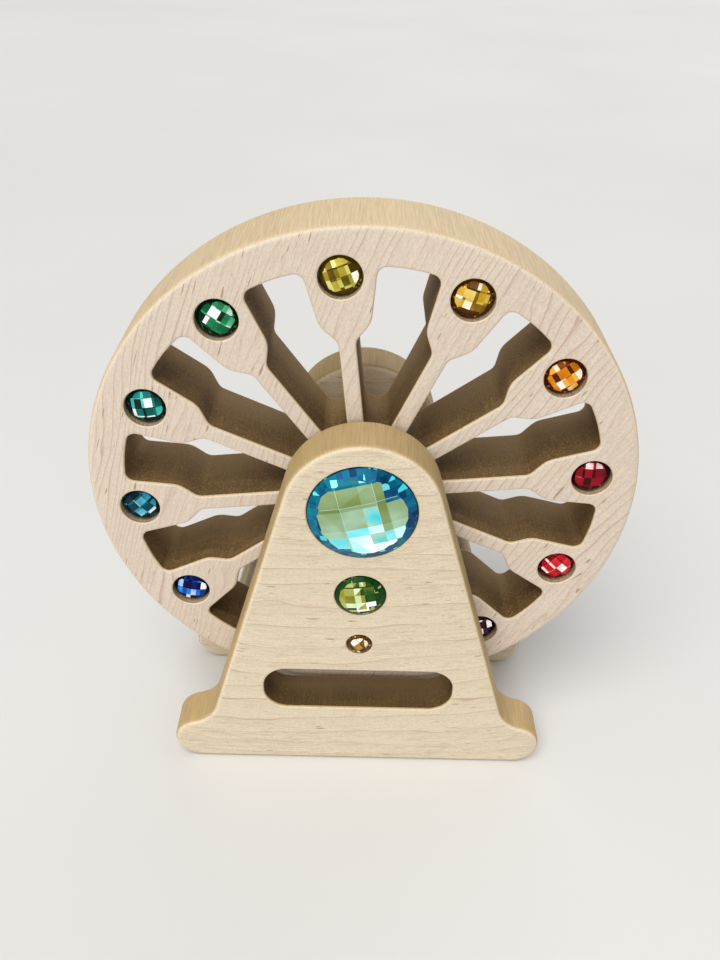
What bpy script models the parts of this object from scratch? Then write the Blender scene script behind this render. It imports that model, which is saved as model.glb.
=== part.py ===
"""Gem-wheel kaleidoscope: a maple wheel set with twelve cut gems turns on a wooden
axle between two A-shaped stand plates.

The front faces -Y, X runs to the right as seen from the front, and Z is up. The
origin is on the table, under the middle of the object. Every piece is modelled
flat: local X is to the right, local Y is up and local Z points to the front. Two
empties turn that plane upright, one on the table and one on the wheel's axis.
"""

import math

import bmesh
import bpy
from mathutils import Matrix, Vector

MM = 0.001
OBJECT_NAME = "gem_wheel_kaleidoscope"
CLEARANCE = 0.3 * MM
CUT_MARGIN = 1.0 * MM
ARC_STEP = math.radians(12.0)
COPLANAR_ANGLE = math.radians(0.05)
ROUND_OVER = 1.5 * MM
ROUND_OVER_SEGMENTS = 2

# Wheel: a disc with twelve spokes that widen into paddles around the gems
WHEEL_RADIUS = 64.9 * MM
WHEEL_THICKNESS = 19.0 * MM
WHEEL_SEGMENTS = 120
SPOKE_COUNT = 12
SPOKE_PITCH = 2.0 * math.pi / SPOKE_COUNT
FIRST_SPOKE_ANGLE = math.radians(6.0)
SPOKE_HALF_WIDTH = 1.9 * MM
NECK_DISTANCE = 39.4 * MM
SHOULDER_DISTANCE = 43.4 * MM
SHOULDER_HALF_WIDTH = 5.6 * MM
PADDLE_END_DISTANCE = 55.65 * MM
PADDLE_END_HALF_WIDTH = 7.9 * MM
NECK_FILLET = 3.0 * MM
SHOULDER_FILLET = 6.0 * MM
OUTER_CORNER_FILLET = 2.2 * MM
SLOT_INNER_RADIUS = 3.2 * MM
SLOT_OUTER_CURVE = 38.0 * MM

# Stand: two equal plates, narrow and arched at the top, flared into feet. The
# wheel turns close behind the front plate and further from the back one.
STAND_THICKNESS = 11.6 * MM
FRONT_GAP = 1.3 * MM
BACK_GAP = 5.7 * MM
ARCH_RADIUS = 18.6 * MM
ARCH_CENTRE_HEIGHT = 83.9 * MM
SIDE_LEAN = math.radians(16.1)
FOOT_HALF_WIDTH = 49.5 * MM
FOOT_EDGE_HEIGHT = 12.2 * MM
FOOT_SLOPE = math.radians(14.7)
FOOT_END_RADIUS = 6.8 * MM
SWEEP_RADIUS = 8.6 * MM
WINDOW_HALF_WIDTH = 24.5 * MM
WINDOW_BOTTOM = 20.7 * MM
WINDOW_TOP = 34.6 * MM
WINDOW_CORNER_RADIUS = 6.2 * MM

# Axle, held in a blind bore in each stand plate
AXLE_HEIGHT = 81.2 * MM
AXLE_RADIUS = 4.75 * MM
AXLE_BORE_DEPTH = 5.0 * MM
AXLE_CHAMFER = 0.5 * MM
SPACER_RADIUS = 9.0 * MM

# Distances towards the front, from the middle of the whole depth
LARGE_GEM_RISE = 2.3 * MM
WHOLE_DEPTH = 2 * STAND_THICKNESS + WHEEL_THICKNESS + FRONT_GAP + BACK_GAP + LARGE_GEM_RISE
HALF_WHEEL = WHEEL_THICKNESS / 2
BACK_STAND_INNER = STAND_THICKNESS - WHOLE_DEPTH / 2
WHEEL_MIDDLE = BACK_STAND_INNER + BACK_GAP + HALF_WHEEL
FRONT_STAND_INNER = WHEEL_MIDDLE + HALF_WHEEL + FRONT_GAP
FRONT_FACE = FRONT_STAND_INNER + STAND_THICKNESS

# Gems in the wheel: flat backs, sunk below the face
RIM_GEM_CIRCLE_RADIUS = 54.0 * MM
RIM_POCKET_RADIUS = 4.8 * MM
RIM_POCKET_DEPTH = 4.0 * MM
RIM_GIRDLE_HEIGHT = 1.9 * MM
RIM_CROWN_HEIGHT = 1.4 * MM
RIM_GEM_TURN = math.radians(37.0)
RIM_GEMS = (
    ("red", (0.62, 0.005, 0.02)),
    ("orange", (0.80, 0.16, 0.01)),
    ("gold", (0.78, 0.42, 0.03)),
    ("yellow", (0.72, 0.66, 0.10)),
    ("green", (0.01, 0.34, 0.14)),
    ("sea_green", (0.02, 0.38, 0.27)),
    ("petrol_blue", (0.02, 0.22, 0.30)),
    ("royal_blue", (0.005, 0.05, 0.62)),
    ("violet", (0.13, 0.03, 0.50)),
    ("purple", (0.30, 0.02, 0.40)),
    ("plum", (0.10, 0.005, 0.04)),
    ("bright_red", (0.78, 0.01, 0.02)),
)

# Gems in the front stand plate: name, height, pocket radius, pocket depth,
# girdle height, crown height, turn in the plane and colour
STAND_GEMS = (
    ("large_aqua_gem", 84.5 * MM, 12.7 * MM, 5.0 * MM, 4.7 * MM, LARGE_GEM_RISE,
     math.radians(15.0), (0.16, 0.62, 0.66)),
    ("medium_green_gem", 60.1 * MM, 6.3 * MM, 4.0 * MM, 3.6 * MM, 1.2 * MM,
     math.radians(8.0), (0.42, 0.50, 0.14)),
    ("small_amber_gem", 44.0 * MM, 3.25 * MM, 3.0 * MM, 2.6 * MM, 0.8 * MM,
     math.radians(40.0), (0.66, 0.42, 0.16)),
)
GEM_SIDES = 24
FACET_REACH = 2

# Colours: linear RGB
MAPLE_FACE = (0.76, 0.60, 0.42)
MAPLE_WHEEL = (0.74, 0.58, 0.45)
DOWEL = (0.66, 0.48, 0.30)
SPACER = (0.78, 0.74, 0.66)


def clear_scene():
    """Remove every object of the open file."""
    for item in list(bpy.data.objects):
        bpy.data.objects.remove(item, do_unlink=True)


def make_collection(name):
    """Add a collection under the scene's own."""
    collection = bpy.data.collections.new(name)
    bpy.context.scene.collection.children.link(collection)
    return collection


def make_material(name, colour, roughness):
    """Principled material of one colour."""
    material = bpy.data.materials.new(name)
    material.use_nodes = True
    material.diffuse_color = (*colour, 1.0)
    shader = material.node_tree.nodes["Principled BSDF"]
    shader.inputs["Base Color"].default_value = (*colour, 1.0)
    shader.inputs["Roughness"].default_value = roughness
    shader.inputs["Metallic"].default_value = 0.0
    return material


def add_upright_empty(name, height, forward, collection):
    """Empty whose local Y is up and whose local Z points to the front."""
    empty = bpy.data.objects.new(name, None)
    empty.rotation_euler = (math.pi / 2, 0.0, 0.0)
    empty.location = (0.0, -forward, height)
    collection.objects.link(empty)
    return empty


def add_object(name, mesh, parent, location, collection, material=None):
    """Object for a mesh, placed under a parent, shaded smooth between sharp edges."""
    mesh.shade_smooth()
    mesh.set_sharp_from_angle(angle=math.radians(30.0))
    item = bpy.data.objects.new(name, mesh)
    item.parent = parent
    item.location = location
    if material:
        mesh.materials.append(material)
    collection.objects.link(item)
    return item


def mark_cutter(item):
    """Show a cutter as a wire and keep it out of renders."""
    item.display_type = "WIRE"
    item.hide_render = True
    return item


def mesh_from_bmesh(name, work):
    """Mesh data with outward normals from a bmesh, which is freed."""
    bmesh.ops.recalc_face_normals(work, faces=work.faces)
    mesh = bpy.data.meshes.new(name)
    work.to_mesh(mesh)
    work.free()
    return mesh


def rounded_outline(corners):
    """Closed outline through (x, y, radius) corners, each replaced by its arc."""
    points = []
    for index, (x, y, radius) in enumerate(corners):
        corner = Vector((x, y))
        to_before = (Vector(corners[index - 1][:2]) - corner).normalized()
        to_after = (Vector(corners[(index + 1) % len(corners)][:2]) - corner).normalized()
        half_angle = to_before.angle(to_after) / 2
        centre = corner + (to_before + to_after).normalized() * radius / math.sin(half_angle)
        spoke = corner + to_before * radius / math.tan(half_angle) - centre
        turn = math.pi - 2 * half_angle
        if to_before.cross(to_after) > 0:
            turn = -turn
        steps = max(1, math.ceil(abs(turn) / ARC_STEP))
        for step in range(steps + 1):
            points.append(centre + Matrix.Rotation(turn * step / steps, 2) @ spoke)
    return points


def circle_outline(radius, steps=48):
    """Closed circle about the origin."""
    angles = [2 * math.pi * step / steps for step in range(steps)]
    return [Vector((radius * math.cos(angle), radius * math.sin(angle))) for angle in angles]


def plate_mesh(name, outlines, thickness):
    """Flat plate, centred on local Z, from closed outlines; inner ones are openings."""
    curve = bpy.data.curves.new(name + "_outline", "CURVE")
    curve.dimensions = "2D"
    curve.fill_mode = "BOTH"
    curve.extrude = thickness / 2
    for outline in outlines:
        spline = curve.splines.new("POLY")
        spline.points.add(len(outline) - 1)
        for point, place in zip(spline.points, outline):
            point.co = (place.x, place.y, 0.0, 1.0)
        spline.use_cyclic_u = True
    holder = bpy.data.objects.new(curve.name, curve)
    bpy.context.scene.collection.objects.link(holder)
    evaluated = holder.evaluated_get(bpy.context.evaluated_depsgraph_get())
    caps_loose = bpy.data.meshes.new_from_object(evaluated)
    work = bmesh.new()
    work.from_mesh(caps_loose)
    bmesh.ops.transform(work, matrix=holder.matrix_world, verts=work.verts)
    bmesh.ops.remove_doubles(work, verts=work.verts, dist=0.001 * MM)
    bmesh.ops.dissolve_limit(work, angle_limit=COPLANAR_ANGLE, verts=work.verts, edges=work.edges)
    bpy.data.objects.remove(holder)
    bpy.data.curves.remove(curve)
    bpy.data.meshes.remove(caps_loose)
    return mesh_from_bmesh(name, work)


def cylinders_mesh(name, places, segments=32):
    """Upright cylinders from (x, y, low z, high z, radius) places, in one mesh."""
    work = bmesh.new()
    for x, y, low, high, radius in places:
        bmesh.ops.create_cone(
            work, cap_ends=True, segments=segments, radius1=radius, radius2=radius,
            depth=high - low, matrix=Matrix.Translation((x, y, (low + high) / 2)))
    return mesh_from_bmesh(name, work)


def round_edges(item, width, segments=ROUND_OVER_SEGMENTS):
    """Round every edge between a face and a side wall."""
    bevel = item.modifiers.new("round_over", "BEVEL")
    bevel.width = width
    bevel.segments = segments
    bevel.limit_method = "ANGLE"
    bevel.angle_limit = math.radians(60.0)
    bevel.use_clamp_overlap = False
    bevel.loop_slide = False


def cut(item, cutter):
    """Take a cutter's volume out of a piece."""
    boolean = item.modifiers.new("cut_" + cutter.name, "BOOLEAN")
    boolean.operation = "DIFFERENCE"
    boolean.solver = "EXACT"
    boolean.object = cutter


def stand_outline():
    """Plate outline: arch, leaning sides, concave sweep and round-ended foot."""
    lean_sine = math.sin(SIDE_LEAN)
    side_constant = ARCH_CENTRE_HEIGHT * lean_sine + ARCH_RADIUS
    apex_height = side_constant / lean_sine
    foot_fall = math.tan(FOOT_SLOPE)
    foot_line_height = FOOT_EDGE_HEIGHT + FOOT_HALF_WIDTH * foot_fall
    ankle_x = ((side_constant - foot_line_height * lean_sine)
               / (math.cos(SIDE_LEAN) - foot_fall * lean_sine))
    ankle_y = foot_line_height - ankle_x * foot_fall
    right = [
        (FOOT_HALF_WIDTH, 0.0, FOOT_END_RADIUS),
        (FOOT_HALF_WIDTH, FOOT_EDGE_HEIGHT, FOOT_END_RADIUS),
        (ankle_x, ankle_y, SWEEP_RADIUS),
    ]
    left = [(-x, y, radius) for x, y, radius in reversed(right)]
    return rounded_outline(right + [(0.0, apex_height, ARCH_RADIUS)] + left)


def window_outline():
    """Long opening low in each plate, level with the lowest wheel gem."""
    radius = WINDOW_CORNER_RADIUS
    return rounded_outline([
        (-WINDOW_HALF_WIDTH, WINDOW_BOTTOM, radius),
        (WINDOW_HALF_WIDTH, WINDOW_BOTTOM, radius),
        (WINDOW_HALF_WIDTH, WINDOW_TOP, radius),
        (-WINDOW_HALF_WIDTH, WINDOW_TOP, radius),
    ])


def wheel_slot_outline(middle_angle):
    """Opening between two spokes: the gap left by two facing spoke and paddle edges."""
    half_pitch = SPOKE_PITCH / 2
    edge = [
        (NECK_DISTANCE, SPOKE_HALF_WIDTH, NECK_FILLET),
        (SHOULDER_DISTANCE, SHOULDER_HALF_WIDTH, SHOULDER_FILLET),
        (PADDLE_END_DISTANCE, PADDLE_END_HALF_WIDTH, OUTER_CORNER_FILLET),
    ]
    right = []
    for along, across, radius in edge:
        place = Matrix.Rotation(-half_pitch, 2) @ Vector((along, across))
        right.append((place.x, place.y, radius))
    left = [(x, -y, radius) for x, y, radius in reversed(right)]
    end_x, end_y, _ = right[-1]
    crown = ((end_x ** 2 + end_y ** 2) / end_x, 0.0, SLOT_OUTER_CURVE)
    heel = (SPOKE_HALF_WIDTH / math.sin(half_pitch), 0.0, SLOT_INNER_RADIUS)
    turn = Matrix.Rotation(middle_angle, 2)
    return [turn @ point for point in rounded_outline([heel] + right + [crown] + left)]


def rim_gem_places():
    """Centre of each wheel gem, counter-clockwise from the first spoke."""
    places = []
    for index in range(SPOKE_COUNT):
        angle = FIRST_SPOKE_ANGLE + index * SPOKE_PITCH
        places.append((RIM_GEM_CIRCLE_RADIUS * math.cos(angle),
                       RIM_GEM_CIRCLE_RADIUS * math.sin(angle)))
    return places


def gem_mesh(name, radius, girdle_height, crown_height):
    """Flat-backed gem: a straight girdle under a low dome cut into a grid of facets."""
    ball_radius = (radius ** 2 + crown_height ** 2) / (2 * crown_height)
    ball_centre = Vector((0.0, 0.0, girdle_height + crown_height - ball_radius))
    blank_height = girdle_height + 2 * crown_height
    work = bmesh.new()
    bmesh.ops.create_cone(
        work, cap_ends=True, segments=GEM_SIDES, radius1=radius, radius2=radius,
        depth=blank_height, matrix=Matrix.Translation((0.0, 0.0, blank_height / 2)))
    pitch = radius / FACET_REACH
    reach = range(-FACET_REACH, FACET_REACH + 1)
    for column in reach:
        for row in reach:
            across = math.hypot(column, row) * pitch
            if across > 1.2 * radius:
                continue
            rise = math.sqrt(ball_radius ** 2 - across ** 2)
            normal = Vector((column * pitch, row * pitch, rise)).normalized()
            grind_facet(work, ball_centre + normal * ball_radius, normal)
    bmesh.ops.remove_doubles(work, verts=work.verts, dist=0.002 * MM)
    return mesh_from_bmesh(name, work)


def grind_facet(work, point, normal):
    """Cut everything beyond a plane off a convex body and close the cut."""
    geometry = work.verts[:] + work.edges[:] + work.faces[:]
    result = bmesh.ops.bisect_plane(
        work, geom=geometry, dist=0.0005 * MM, plane_co=point, plane_no=normal, clear_outer=True)
    rim = [item for item in result["geom_cut"] if isinstance(item, bmesh.types.BMEdge)]
    open_rim = [edge for edge in rim if edge.is_boundary]
    if open_rim:
        bmesh.ops.edgeloop_fill(work, edges=open_rim)


def build_stand_plate(name, outline, inner_face, side, frame, parts, cutters, material):
    """One stand plate with its window and its blind axle bore; side is 1 at the front."""
    middle = inner_face + side * STAND_THICKNESS / 2
    plate = add_object(
        name, plate_mesh(name, [outline], STAND_THICKNESS), frame,
        (0.0, 0.0, middle), parts, material)
    round_edges(plate, ROUND_OVER)
    window = plate_mesh(name + "_window", [window_outline()], STAND_THICKNESS + 2 * CUT_MARGIN)
    cut(plate, mark_cutter(add_object(
        name + "_window_cutter", window, frame, (0.0, 0.0, middle), cutters)))
    low, high = sorted((inner_face - side * CUT_MARGIN, inner_face + side * AXLE_BORE_DEPTH))
    bore = cylinders_mesh(
        name + "_bore", [(0.0, AXLE_HEIGHT, low, high, AXLE_RADIUS + CLEARANCE)])
    cut(plate, mark_cutter(add_object(
        name + "_bore_cutter", bore, frame, (0.0, 0.0, 0.0), cutters)))
    return plate


def build_wheel(axis, parts, cutters, material):
    """Wheel disc with twelve spoke openings, gem pockets and the axle bore."""
    disc = cylinders_mesh(
        "wheel", [(0.0, 0.0, -HALF_WHEEL, HALF_WHEEL, WHEEL_RADIUS)], WHEEL_SEGMENTS)
    wheel = add_object("wheel", disc, axis, (0.0, 0.0, 0.0), parts, material)
    round_edges(wheel, ROUND_OVER)
    middles = [FIRST_SPOKE_ANGLE + (index + 0.5) * SPOKE_PITCH for index in range(SPOKE_COUNT)]
    slots = plate_mesh(
        "wheel_slots", [wheel_slot_outline(angle) for angle in middles],
        WHEEL_THICKNESS + 2 * CUT_MARGIN)
    cut(wheel, mark_cutter(add_object(
        "wheel_slot_cutter", slots, axis, (0.0, 0.0, 0.0), cutters)))
    floor = HALF_WHEEL - RIM_POCKET_DEPTH
    holes = [(x, y, floor, HALF_WHEEL + CUT_MARGIN, RIM_POCKET_RADIUS)
             for x, y in rim_gem_places()]
    through = HALF_WHEEL + CUT_MARGIN
    holes.append((0.0, 0.0, -through, through, AXLE_RADIUS + CLEARANCE))
    cut(wheel, mark_cutter(add_object(
        "wheel_hole_cutter", cylinders_mesh("wheel_holes", holes), axis,
        (0.0, 0.0, 0.0), cutters)))
    return wheel


def build_rim_gems(axis, parts):
    """Twelve gems in the wheel's pockets, each turned a little further than the last."""
    for index, ((name, colour), (x, y)) in enumerate(zip(RIM_GEMS, rim_gem_places())):
        node = "rim_gem_" + name
        mesh = gem_mesh(
            node, RIM_POCKET_RADIUS - CLEARANCE, RIM_GIRDLE_HEIGHT, RIM_CROWN_HEIGHT)
        place = (x, y, HALF_WHEEL - RIM_POCKET_DEPTH + CLEARANCE)
        gem = add_object(node, mesh, axis, place, parts, make_material(node, colour, 0.06))
        gem.rotation_euler = (0.0, 0.0, index * RIM_GEM_TURN)


def build_stand_gems(plate, frame, parts, cutters):
    """Three gems set one above the other in the front plate."""
    holes = []
    for name, height, pocket_radius, depth, girdle, crown, turn, colour in STAND_GEMS:
        floor = FRONT_FACE - depth
        holes.append((0.0, height, floor, FRONT_FACE + CUT_MARGIN, pocket_radius))
        mesh = gem_mesh(name, pocket_radius - CLEARANCE, girdle, crown)
        gem = add_object(
            name, mesh, frame, (0.0, height, floor + CLEARANCE), parts,
            make_material(name, colour, 0.06))
        gem.rotation_euler = (0.0, 0.0, turn)
    cut(plate, mark_cutter(add_object(
        "front_stand_pocket_cutter", cylinders_mesh("front_stand_pockets", holes), frame,
        (0.0, 0.0, 0.0), cutters)))


def build_axle(frame, parts):
    """Dowel between the blind bores, with a spacer ring on each side of the wheel."""
    reach = AXLE_BORE_DEPTH - CLEARANCE
    dowel = cylinders_mesh(
        "axle", [(0.0, 0.0, BACK_STAND_INNER - reach, FRONT_STAND_INNER + reach, AXLE_RADIUS)])
    axle = add_object(
        "axle", dowel, frame, (0.0, AXLE_HEIGHT, 0.0), parts, make_material("dowel", DOWEL, 0.5))
    round_edges(axle, AXLE_CHAMFER, 1)
    rings = [circle_outline(SPACER_RADIUS), circle_outline(AXLE_RADIUS + CLEARANCE)]
    finish = make_material("spacer", SPACER, 0.6)
    middle_of_gap = {
        "front_spacer": (FRONT_GAP, FRONT_STAND_INNER - FRONT_GAP / 2),
        "back_spacer": (BACK_GAP, BACK_STAND_INNER + BACK_GAP / 2),
    }
    for name, (gap, middle) in middle_of_gap.items():
        ring = plate_mesh(name, rings, gap - 2 * CLEARANCE)
        add_object(name, ring, frame, (0.0, AXLE_HEIGHT, middle), parts, finish)


def main():
    clear_scene()
    parts = make_collection(OBJECT_NAME)
    cutters = make_collection("cutters")
    frame = add_upright_empty("stand_frame", 0.0, 0.0, parts)
    axis = add_upright_empty("wheel_axis", AXLE_HEIGHT, WHEEL_MIDDLE, parts)
    stand_wood = make_material("stand_maple", MAPLE_FACE, 0.5)
    wheel_wood = make_material("wheel_maple", MAPLE_WHEEL, 0.5)
    front = build_stand_plate(
        "front_stand", stand_outline(), FRONT_STAND_INNER, 1.0, frame, parts, cutters, stand_wood)
    build_stand_plate(
        "back_stand", stand_outline(), BACK_STAND_INNER, -1.0, frame, parts, cutters, stand_wood)
    build_wheel(axis, parts, cutters, wheel_wood)
    build_rim_gems(axis, parts)
    build_stand_gems(front, frame, parts, cutters)
    build_axle(frame, parts)


main()
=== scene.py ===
"""Looks for the gem-wheel kaleidoscope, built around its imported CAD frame.

Each wooden plate, the wheel and every gem is rebuilt at fine detail in the same place
as its CAD node. New pieces are modelled flat and then stood up: local X is to the right,
local Y is up and local Z points to the front. Wood shaders work in millimetres, and gem
shaders in gem radii.
"""

import math

import bmesh
import bpy
from mathutils import Matrix, Vector


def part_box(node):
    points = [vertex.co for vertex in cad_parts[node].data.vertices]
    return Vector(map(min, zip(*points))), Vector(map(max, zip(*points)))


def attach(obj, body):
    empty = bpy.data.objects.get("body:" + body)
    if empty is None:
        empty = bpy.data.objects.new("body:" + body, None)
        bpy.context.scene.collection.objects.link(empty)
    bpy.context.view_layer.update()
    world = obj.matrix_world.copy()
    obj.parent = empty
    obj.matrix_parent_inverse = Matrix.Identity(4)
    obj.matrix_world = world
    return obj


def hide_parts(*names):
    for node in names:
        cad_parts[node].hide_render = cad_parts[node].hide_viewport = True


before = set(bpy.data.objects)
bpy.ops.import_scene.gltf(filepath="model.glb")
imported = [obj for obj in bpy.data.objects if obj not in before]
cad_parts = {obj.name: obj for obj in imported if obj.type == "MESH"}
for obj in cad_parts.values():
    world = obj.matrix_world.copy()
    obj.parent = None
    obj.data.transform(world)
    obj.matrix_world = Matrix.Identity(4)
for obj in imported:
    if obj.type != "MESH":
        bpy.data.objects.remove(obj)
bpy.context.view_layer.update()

MM = 0.001
FINE_ARC = math.radians(4.0)
WHEEL_STEPS = 240
SMALL_CIRCLE_STEPS = 72
SHARP_ANGLE = math.radians(38.0)
UPRIGHT = Matrix.Rotation(math.pi / 2, 4, "X")

# Sides of a plate
FRONT = 1.0
BACK = -1.0

# Material slots of a plate
FACE_SLOT = 0
OPENING_SLOT = 1
POCKET_SLOT = 2

# Edge rounding
PLATE_ROUND = 1.5 * MM
WINDOW_ROUND = 0.6 * MM
WHEEL_ROUND = 1.5 * MM
SLOT_ROUND = 0.6 * MM
ROUND_SEGMENTS = 4
POCKET_CHAMFER = 0.25 * MM

# Wheel openings
SPOKE_COUNT = 12
SPOKE_PITCH = 2.0 * math.pi / SPOKE_COUNT
FIRST_SPOKE_ANGLE = math.radians(6.0)
SPOKE_HALF_WIDTH = 1.9 * MM
NECK_DISTANCE = 39.4 * MM
SHOULDER_DISTANCE = 43.4 * MM
SHOULDER_HALF_WIDTH = 5.6 * MM
PADDLE_END_DISTANCE = 55.65 * MM
PADDLE_END_HALF_WIDTH = 7.9 * MM
NECK_FILLET = 3.0 * MM
SHOULDER_FILLET = 6.0 * MM
OUTER_CORNER_FILLET = 2.2 * MM
SLOT_INNER_RADIUS = 3.2 * MM
SLOT_OUTER_CURVE = 38.0 * MM
AXLE_BORE_RADIUS = 5.05 * MM
RIM_POCKET_RADIUS = 4.8 * MM
RIM_POCKET_DEPTH = 4.0 * MM

# Stand plates
ARCH_RADIUS = 18.6 * MM
SIDE_LEAN = math.radians(16.1)
FOOT_EDGE_HEIGHT = 12.2 * MM
FOOT_SLOPE = math.radians(14.7)
FOOT_END_RADIUS = 6.8 * MM
SWEEP_RADIUS = 8.6 * MM
WINDOW_HALF_WIDTH = 24.5 * MM
WINDOW_BOTTOM = 20.7 * MM
WINDOW_TOP = 34.6 * MM
WINDOW_CORNER_RADIUS = 6.2 * MM
AXLE_BORE_DEPTH = 5.0 * MM
GEM_CLEARANCE = 0.3 * MM

# Gems, with the bezel in shares of the radius and of the crown's height
BEZEL_WIDTH_SHARE = 0.14
BEZEL_RISE_SHARE = 0.42
GRID_REACH_SHARE = 1.15
FACET_EDGE = 0.05 * MM
DOME_FACET_RISE = 0.92
CUT_TOLERANCE = 0.0004 * MM
MERGE_DISTANCE = 0.002 * MM
RIM_GEM_TURN_STEP = math.radians(37.0)
RIM_GEM_SPREAD = 1.7
RED_GEM_SPREAD = 1.2
# Material slot of the painted highlights along a gem's facet edges
FACET_HIGHLIGHT_SLOT = 1

# Camera, measured from the foot of the front plate's outer face
CAMERA_SHIFT = -0.7 * MM
CAMERA_AHEAD = 160.5 * MM
CAMERA_HEIGHT = 203.9 * MM
CAMERA_DOWNWARD = math.radians(34.43)
CAMERA_ROLL = math.radians(1.27)
CAMERA_LENS = 33.45

# Stage
FLOOR_RADIUS = 30.0
FLOOR_STEPS = 96
FLOOR_DROP = 0.2 * MM
WARM_WHITE = (1.0, 0.985, 0.96)
COOL_WHITE = (0.97, 0.98, 1.0)
SKY_WHITE = (0.96, 0.98, 1.0)
SKY_STRENGTH = 0.42
SKY_SEEN_STRENGTH = 0.78


# ---------------------------------------------------------------- shapes

def rounded_outline(corners):
    """Closed outline through (x, y, radius) corners, each replaced by its arc."""
    points = []
    for index, (x, y, radius) in enumerate(corners):
        corner = Vector((x, y))
        to_before = (Vector(corners[index - 1][:2]) - corner).normalized()
        to_after = (Vector(corners[(index + 1) % len(corners)][:2]) - corner).normalized()
        half_angle = to_before.angle(to_after) / 2
        centre = corner + (to_before + to_after).normalized() * radius / math.sin(half_angle)
        spoke = corner + to_before * radius / math.tan(half_angle) - centre
        turn = math.pi - 2 * half_angle
        if to_before.cross(to_after) > 0:
            turn = -turn
        steps = max(1, math.ceil(abs(turn) / FINE_ARC))
        for step in range(steps + 1):
            points.append(centre + Matrix.Rotation(turn * step / steps, 2) @ spoke)
    return points


def circle_outline(radius, steps):
    """Closed circle about the origin."""
    angles = [2 * math.pi * step / steps for step in range(steps)]
    return [Vector((radius * math.cos(angle), radius * math.sin(angle))) for angle in angles]


def stand_outline(foot_half_width, arch_top):
    """Plate outline: arch, leaning sides, concave sweep and round-ended foot."""
    lean_sine = math.sin(SIDE_LEAN)
    side_constant = (arch_top - ARCH_RADIUS) * lean_sine + ARCH_RADIUS
    apex_height = side_constant / lean_sine
    foot_fall = math.tan(FOOT_SLOPE)
    foot_line_height = FOOT_EDGE_HEIGHT + foot_half_width * foot_fall
    ankle_x = ((side_constant - foot_line_height * lean_sine)
               / (math.cos(SIDE_LEAN) - foot_fall * lean_sine))
    ankle_y = foot_line_height - ankle_x * foot_fall
    right = [
        (foot_half_width, 0.0, FOOT_END_RADIUS),
        (foot_half_width, FOOT_EDGE_HEIGHT, FOOT_END_RADIUS),
        (ankle_x, ankle_y, SWEEP_RADIUS),
    ]
    left = [(-x, y, radius) for x, y, radius in reversed(right)]
    return rounded_outline(right + [(0.0, apex_height, ARCH_RADIUS)] + left)


def window_outline():
    """Long opening low in each plate."""
    radius = WINDOW_CORNER_RADIUS
    return rounded_outline([
        (-WINDOW_HALF_WIDTH, WINDOW_BOTTOM, radius),
        (WINDOW_HALF_WIDTH, WINDOW_BOTTOM, radius),
        (WINDOW_HALF_WIDTH, WINDOW_TOP, radius),
        (-WINDOW_HALF_WIDTH, WINDOW_TOP, radius),
    ])


def wheel_slot_outline(middle_angle):
    """Opening between two spokes: the gap left by two facing spoke and paddle edges."""
    half_pitch = SPOKE_PITCH / 2
    edge = [
        (NECK_DISTANCE, SPOKE_HALF_WIDTH, NECK_FILLET),
        (SHOULDER_DISTANCE, SHOULDER_HALF_WIDTH, SHOULDER_FILLET),
        (PADDLE_END_DISTANCE, PADDLE_END_HALF_WIDTH, OUTER_CORNER_FILLET),
    ]
    right = []
    for along, across, radius in edge:
        place = Matrix.Rotation(-half_pitch, 2) @ Vector((along, across))
        right.append((place.x, place.y, radius))
    left = [(x, -y, radius) for x, y, radius in reversed(right)]
    end_x, end_y, _ = right[-1]
    crown = ((end_x ** 2 + end_y ** 2) / end_x, 0.0, SLOT_OUTER_CURVE)
    heel = (SPOKE_HALF_WIDTH / math.sin(half_pitch), 0.0, SLOT_INNER_RADIUS)
    turn = Matrix.Rotation(middle_angle, 2)
    return [turn @ point for point in rounded_outline([heel] + right + [crown] + left)]


def add_piece(name, work, materials):
    """Mesh object in the scene from a bmesh, which is freed."""
    mesh = bpy.data.meshes.new(name)
    work.to_mesh(mesh)
    work.free()
    piece = bpy.data.objects.new(name, mesh)
    for material in materials:
        mesh.materials.append(material)
    bpy.context.scene.collection.objects.link(piece)
    return piece


def inset_outline(outline, inset):
    """Counter-clockwise outline moved to its left by inset, or to its right if negative."""
    moved = []
    for index, point in enumerate(outline):
        before = (point - outline[index - 1]).normalized()
        after = (outline[(index + 1) % len(outline)] - point).normalized()
        left_before = Vector((-before.y, before.x))
        left = (left_before + Vector((-after.y, after.x))).normalized()
        moved.append(point + left * inset / max(0.5, left.dot(left_before)))
    return moved


def add_ring(work, outline, height):
    return [work.verts.new((point.x, point.y, height)) for point in outline]


def join_rings(work, lower, upper, slot):
    """Band of faces between two rings of the same length."""
    for index in range(len(lower)):
        after = (index + 1) % len(lower)
        face = work.faces.new((lower[index], lower[after], upper[after], upper[index]))
        face.material_index = slot


def ring_edges(work, ring):
    return [work.edges.get((ring[index - 1], ring[index])) for index in range(len(ring))]


def wall_profile(half, rounding):
    """(inset, height) steps of a wall with rounded edges, from the back face to the front."""
    quarter = [step * math.pi / (2 * ROUND_SEGMENTS) for step in range(ROUND_SEGMENTS + 1)]
    front = [(rounding * (1 - math.cos(angle)), half - rounding * (1 - math.sin(angle)))
             for angle in quarter]
    return [(inset, -height) for inset, height in reversed(front)] + front


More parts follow.
